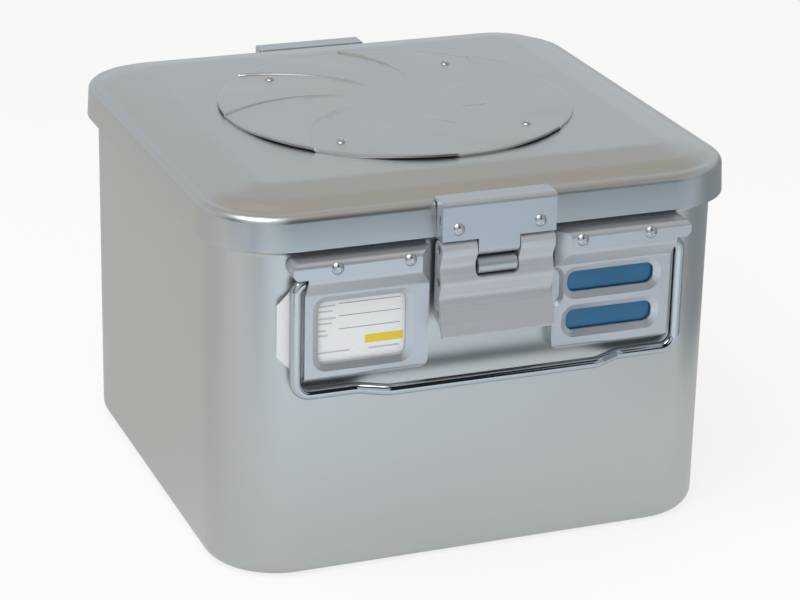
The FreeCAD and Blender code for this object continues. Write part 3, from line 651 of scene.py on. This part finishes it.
carried = {
    "lid_gasket": (sealRubber, "seal_rubber"), "retainer_gasket": (sealRubber, "seal_rubber"),
    "filter_sheet": (filterCloth, "filter_cloth"), "filter_retainer": (shellMetal, "shell_metal"),
    "retainer_post": (pinSteel, "pin_steel"), "retainer_knob": (knobPlastic, "knob_plastic"),
}
for end in ("front", "rear"):
    carried.update({
        end + "_hinge_pin": (pinSteel, "pin_steel"), end + "_lock_pin": (pinSteel, "pin_steel"),
        end + "_catch_rivets": (rivetMetal, "rivet_metal"),
        end + "_card_side_bar": (fittingMetal, "fitting_metal"),
        end + "_tag_side_bar": (fittingMetal, "fitting_metal"), end + "_tag_plate": (tagBlue, "tag_blue"),
        end + "_label_card": (cardWhite[end], "card_white"),
    })
for name, (material, slot) in carried.items():
    dress(nodes[name], material)
print("the other nodes are dressed")

for name in ("Cube", "Light", "Camera"):  # what a new file starts with
    if name in bpy.data.objects:
        bpy.data.objects.remove(bpy.data.objects[name])

studio = {
    "floor": 6.0,
    "floorDrop": 0.0002,
    "aim": (0, 0, 0.1),
    "lights": {  # place, size, power, colour
        "keyLight": ((-0.9, -0.7, 1.9), 1.4, 24.0, (1.0, 0.98, 0.95)),
        "fillLight": ((1.6, -1.2, 1.0), 2.0, 8.0, (0.92, 0.96, 1.0)),
        "frontLight": ((-1.3, -1.9, 1.2), 2.6, 19.0, (0.97, 0.98, 1.0)),
    },
}


def areaLight(name, place, size, power, colour):
    data = bpy.data.lights.new(name, "AREA")
    data.shape = "SQUARE"
    data.size = size
    data.energy = power
    data.color = colour
    light = bpy.data.objects.new(name, data)
    light.location = place
    light.rotation_euler = (Vector(studio["aim"]) - Vector(place)).to_track_quat("-Z", "Y").to_euler()
    bpy.context.collection.objects.link(light)


for name, sizes in studio["lights"].items():
    areaLight(name, *sizes)

floorGlow = {  # painted reflections: the glow that bright metal sees in the floor, a painted bright spot and painted light and dark bands standing in for lamps and a dark room; the pairs are places in metres
    "paint": (0.86, 0.87, 0.88),
    "mirrored": 0.6,
    "seen": 0.8,
    "plain": (0.66, 0.69, 0.71),
    "near": (-0.42, -0.2),
    "nearTone": (1.05, 1.08, 1.10),
    "spot": (-0.06, -0.6),
    "spotReach": 0.18,
    "paintedHighlightTone": (1.45, 1.64, 1.80),
    "ahead": (-0.42, -0.85),
    "rightwards": (0.08, 0.3),
    "leftTone": (0.95, 1.30, 1.65),
    "rightTone": (0.62, 0.93, 1.25),
    "beside": (-0.25, 0.1),
    "besideTone": (0.72, 0.71, 0.65),
    "far": (-1.1, -1.25),
    "paintedDarkTone": (0.03, 0.03, 0.03),
}


def floorFinish():
    finish = Finish("floor_white_and_painted_reflections")
    seenRay = finish.make("ShaderNodeLightPath", None, None, 0)
    glossyRay = finish.make("ShaderNodeLightPath", None, None, 3)
    passedRay = finish.make("ShaderNodeLightPath", None, None, 6)
    share = (glossyRay + passedRay) * floorGlow["mirrored"] + seenRay * floorGlow["seen"]
    paint = finish.make("ShaderNodeBsdfDiffuse", None, {0: shade(*floorGlow["paint"])})
    spot = finish.make("ShaderNodeTexCoord", output=3)
    x = finish.make("ShaderNodeSeparateXYZ", None, {0: spot}, 0)
    y = finish.make("ShaderNodeSeparateXYZ", None, {0: spot}, 1)
    spotX, spotY = floorGlow["spot"]
    # painted highlight: a glowing spot in the floor that puts a highlight on the metal's front-left corner
    apart = (x - spotX) * (x - spotX) + (y - spotY) * (y - spotY)  # squared distance
    bright = finish.ease(apart, floorGlow["spotReach"], 0.0)
    rightwards = finish.ease(x, *floorGlow["rightwards"])
    distant = finish.mixed(rightwards, shade(*floorGlow["leftTone"]), shade(*floorGlow["rightTone"]))
    # painted reflections: lighter floor near the front, bluish tones ahead, a warm band beside and a dark
    # band far off
    near = finish.ease(y, *floorGlow["near"])
    tone = finish.mixed(near, shade(*floorGlow["plain"]), shade(*floorGlow["nearTone"]))
    tone = finish.mixed(bright, tone, shade(*floorGlow["paintedHighlightTone"]))
    tone = finish.mixed(finish.ease(y, *floorGlow["ahead"]), tone, distant)
    tone = finish.mixed(finish.ease(y, *floorGlow["beside"]), tone, shade(*floorGlow["besideTone"]))
    tone = finish.mixed(finish.ease(y, *floorGlow["far"]), tone, shade(*floorGlow["paintedDarkTone"]))
    tone = finish.mixed(seenRay, tone, shade(1, 1, 1))
    # the painted reflections glow only for glossy and passing rays; the camera sees plain white
    glow = finish.make("ShaderNodeEmission", None, {0: tone, 1: 1.0})
    blended = finish.make("ShaderNodeMixShader", None, {0: share, 1: paint, 2: glow})
    finish.make("ShaderNodeOutputMaterial", None, {0: blended})
    return finish.owner


bpy.ops.mesh.primitive_plane_add(size=studio["floor"], location=(0, 0, -studio["floorDrop"]))
floor = done(bpy.context.object, "floor")
floor.data.materials.append(floorFinish())

flags = {  # painted reflections: dark glowing cards that only bright metal sees; place, tilt in degrees, size, colour
    "right": ((0.33, -0.06, 0.14), (90, 0, 85), (0.34, 0.28), (0.38, 0.41, 0.43)),
    "left": ((-0.40, -0.42, 0.14), (90, 0, -45), (0.03, 0.28), (0.04, 0.10, 0.18)),
    "grip": ((0.0, -0.198, 0.165), (0, 0, 0), (0.24, 0.055), (0.02, 0.02, 0.02)),
}


# a painted reflection: an emitting dark colour on the card's back, clear on its front
def paintedReflectionFinish(name, colour):
    finish = Finish(name)
    dark = finish.make("ShaderNodeEmission", None, {0: shade(*colour), 1: 1.0})
    clear = finish.make("ShaderNodeBsdfTransparent")
    inwards = finish.make("ShaderNodeNewGeometry", None, None, 6)  # the card's back faces the container
    oneSided = finish.make("ShaderNodeMixShader", None, {0: inwards, 1: clear, 2: dark})
    finish.make("ShaderNodeOutputMaterial", None, {0: oneSided})
    return finish.owner


for name, (place, tilt, size, colour) in flags.items():  # painted reflections: dark glowing cards, hidden from the camera, from shadows and from diffuse light, that only the bright metal shows
    angles = [math.radians(angle) for angle in tilt]
    bpy.ops.mesh.primitive_plane_add(size=1, location=place, rotation=angles)
    bpy.context.object.scale = (*size, 1)
    card = done(bpy.context.object, name + "Flag")
    card.data.materials.append(paintedReflectionFinish(name + "_flag", colour))
    card.visible_camera = False
    card.visible_shadow = False
    card.visible_diffuse = False

roomTones = {  # (height of the look, colour); the ceiling comes last on both sides
    "ceiling": (0.66, 0.60, 0.53),
    "room": [(0.0, (0.03, 0.03, 0.035)), (0.70, (0.04, 0.03, 0.02)), (0.80, (0.34, 0.27, 0.19))],
    "roomTop": 0.92,
    "window": [(0.0, (0.76, 0.80, 0.83)), (0.47, (0.76, 0.80, 0.83))],
    "windowTop": 0.68,
    "turn": (-0.35, 0.2),
}


def roomSky():
    world = bpy.data.worlds.new("studio")
    sky = Finish("studio", world)
    facing = sky.make("ShaderNodeTexCoord", None, None, 0)
    up = sky.make("ShaderNodeSeparateXYZ", None, {0: facing}, 2)
    back = sky.make("ShaderNodeSeparateXYZ", None, {0: facing}, 1)

    def tones(side):
        marks = roomTones[side] + [(roomTones[side + "Top"], roomTones["ceiling"])]
        stops = [(height, shade(*colour)) for height, colour in marks]
        return sky.make("ShaderNodeValToRGB", {"stops": stops}, {0: up})

    tint = sky.mixed(sky.ease(back, *roomTones["turn"]), tones("room"), tones("window"))
    light = sky.make("ShaderNodeBackground", None, {0: tint, 1: 1.0})
    sky.make("ShaderNodeOutputWorld", None, {0: light})
    return world


bpy.context.scene.world = roomSky()

cameraSizes = {
    "lens": 123.54,
    "sensor": 36.0,
    "place": (-0.52185, -1.32967, 0.65414),
    "aim": (0.003308, -0.005423, 0.092843),
    "roll": 1.318,
}
cameraData = bpy.data.cameras.new("camera")
cameraData.lens = cameraSizes["lens"]
cameraData.sensor_width = cameraSizes["sensor"]
camera = bpy.data.objects.new("camera", cameraData)
backwards = (Vector(cameraSizes["place"]) - Vector(cameraSizes["aim"])).normalized()
right = Vector((0, 0, 1)).cross(backwards).normalized()
above = backwards.cross(right)
roll = Matrix.Rotation(math.radians(cameraSizes["roll"]), 3, "Z")
turn = Matrix((right, above, backwards)).transposed() @ roll
camera.matrix_world = Matrix.Translation(cameraSizes["place"]) @ turn.to_4x4()
bpy.context.collection.objects.link(camera)
bpy.context.scene.camera = camera
bpy.context.scene.view_settings.view_transform = "Standard"
print("the studio is lit")
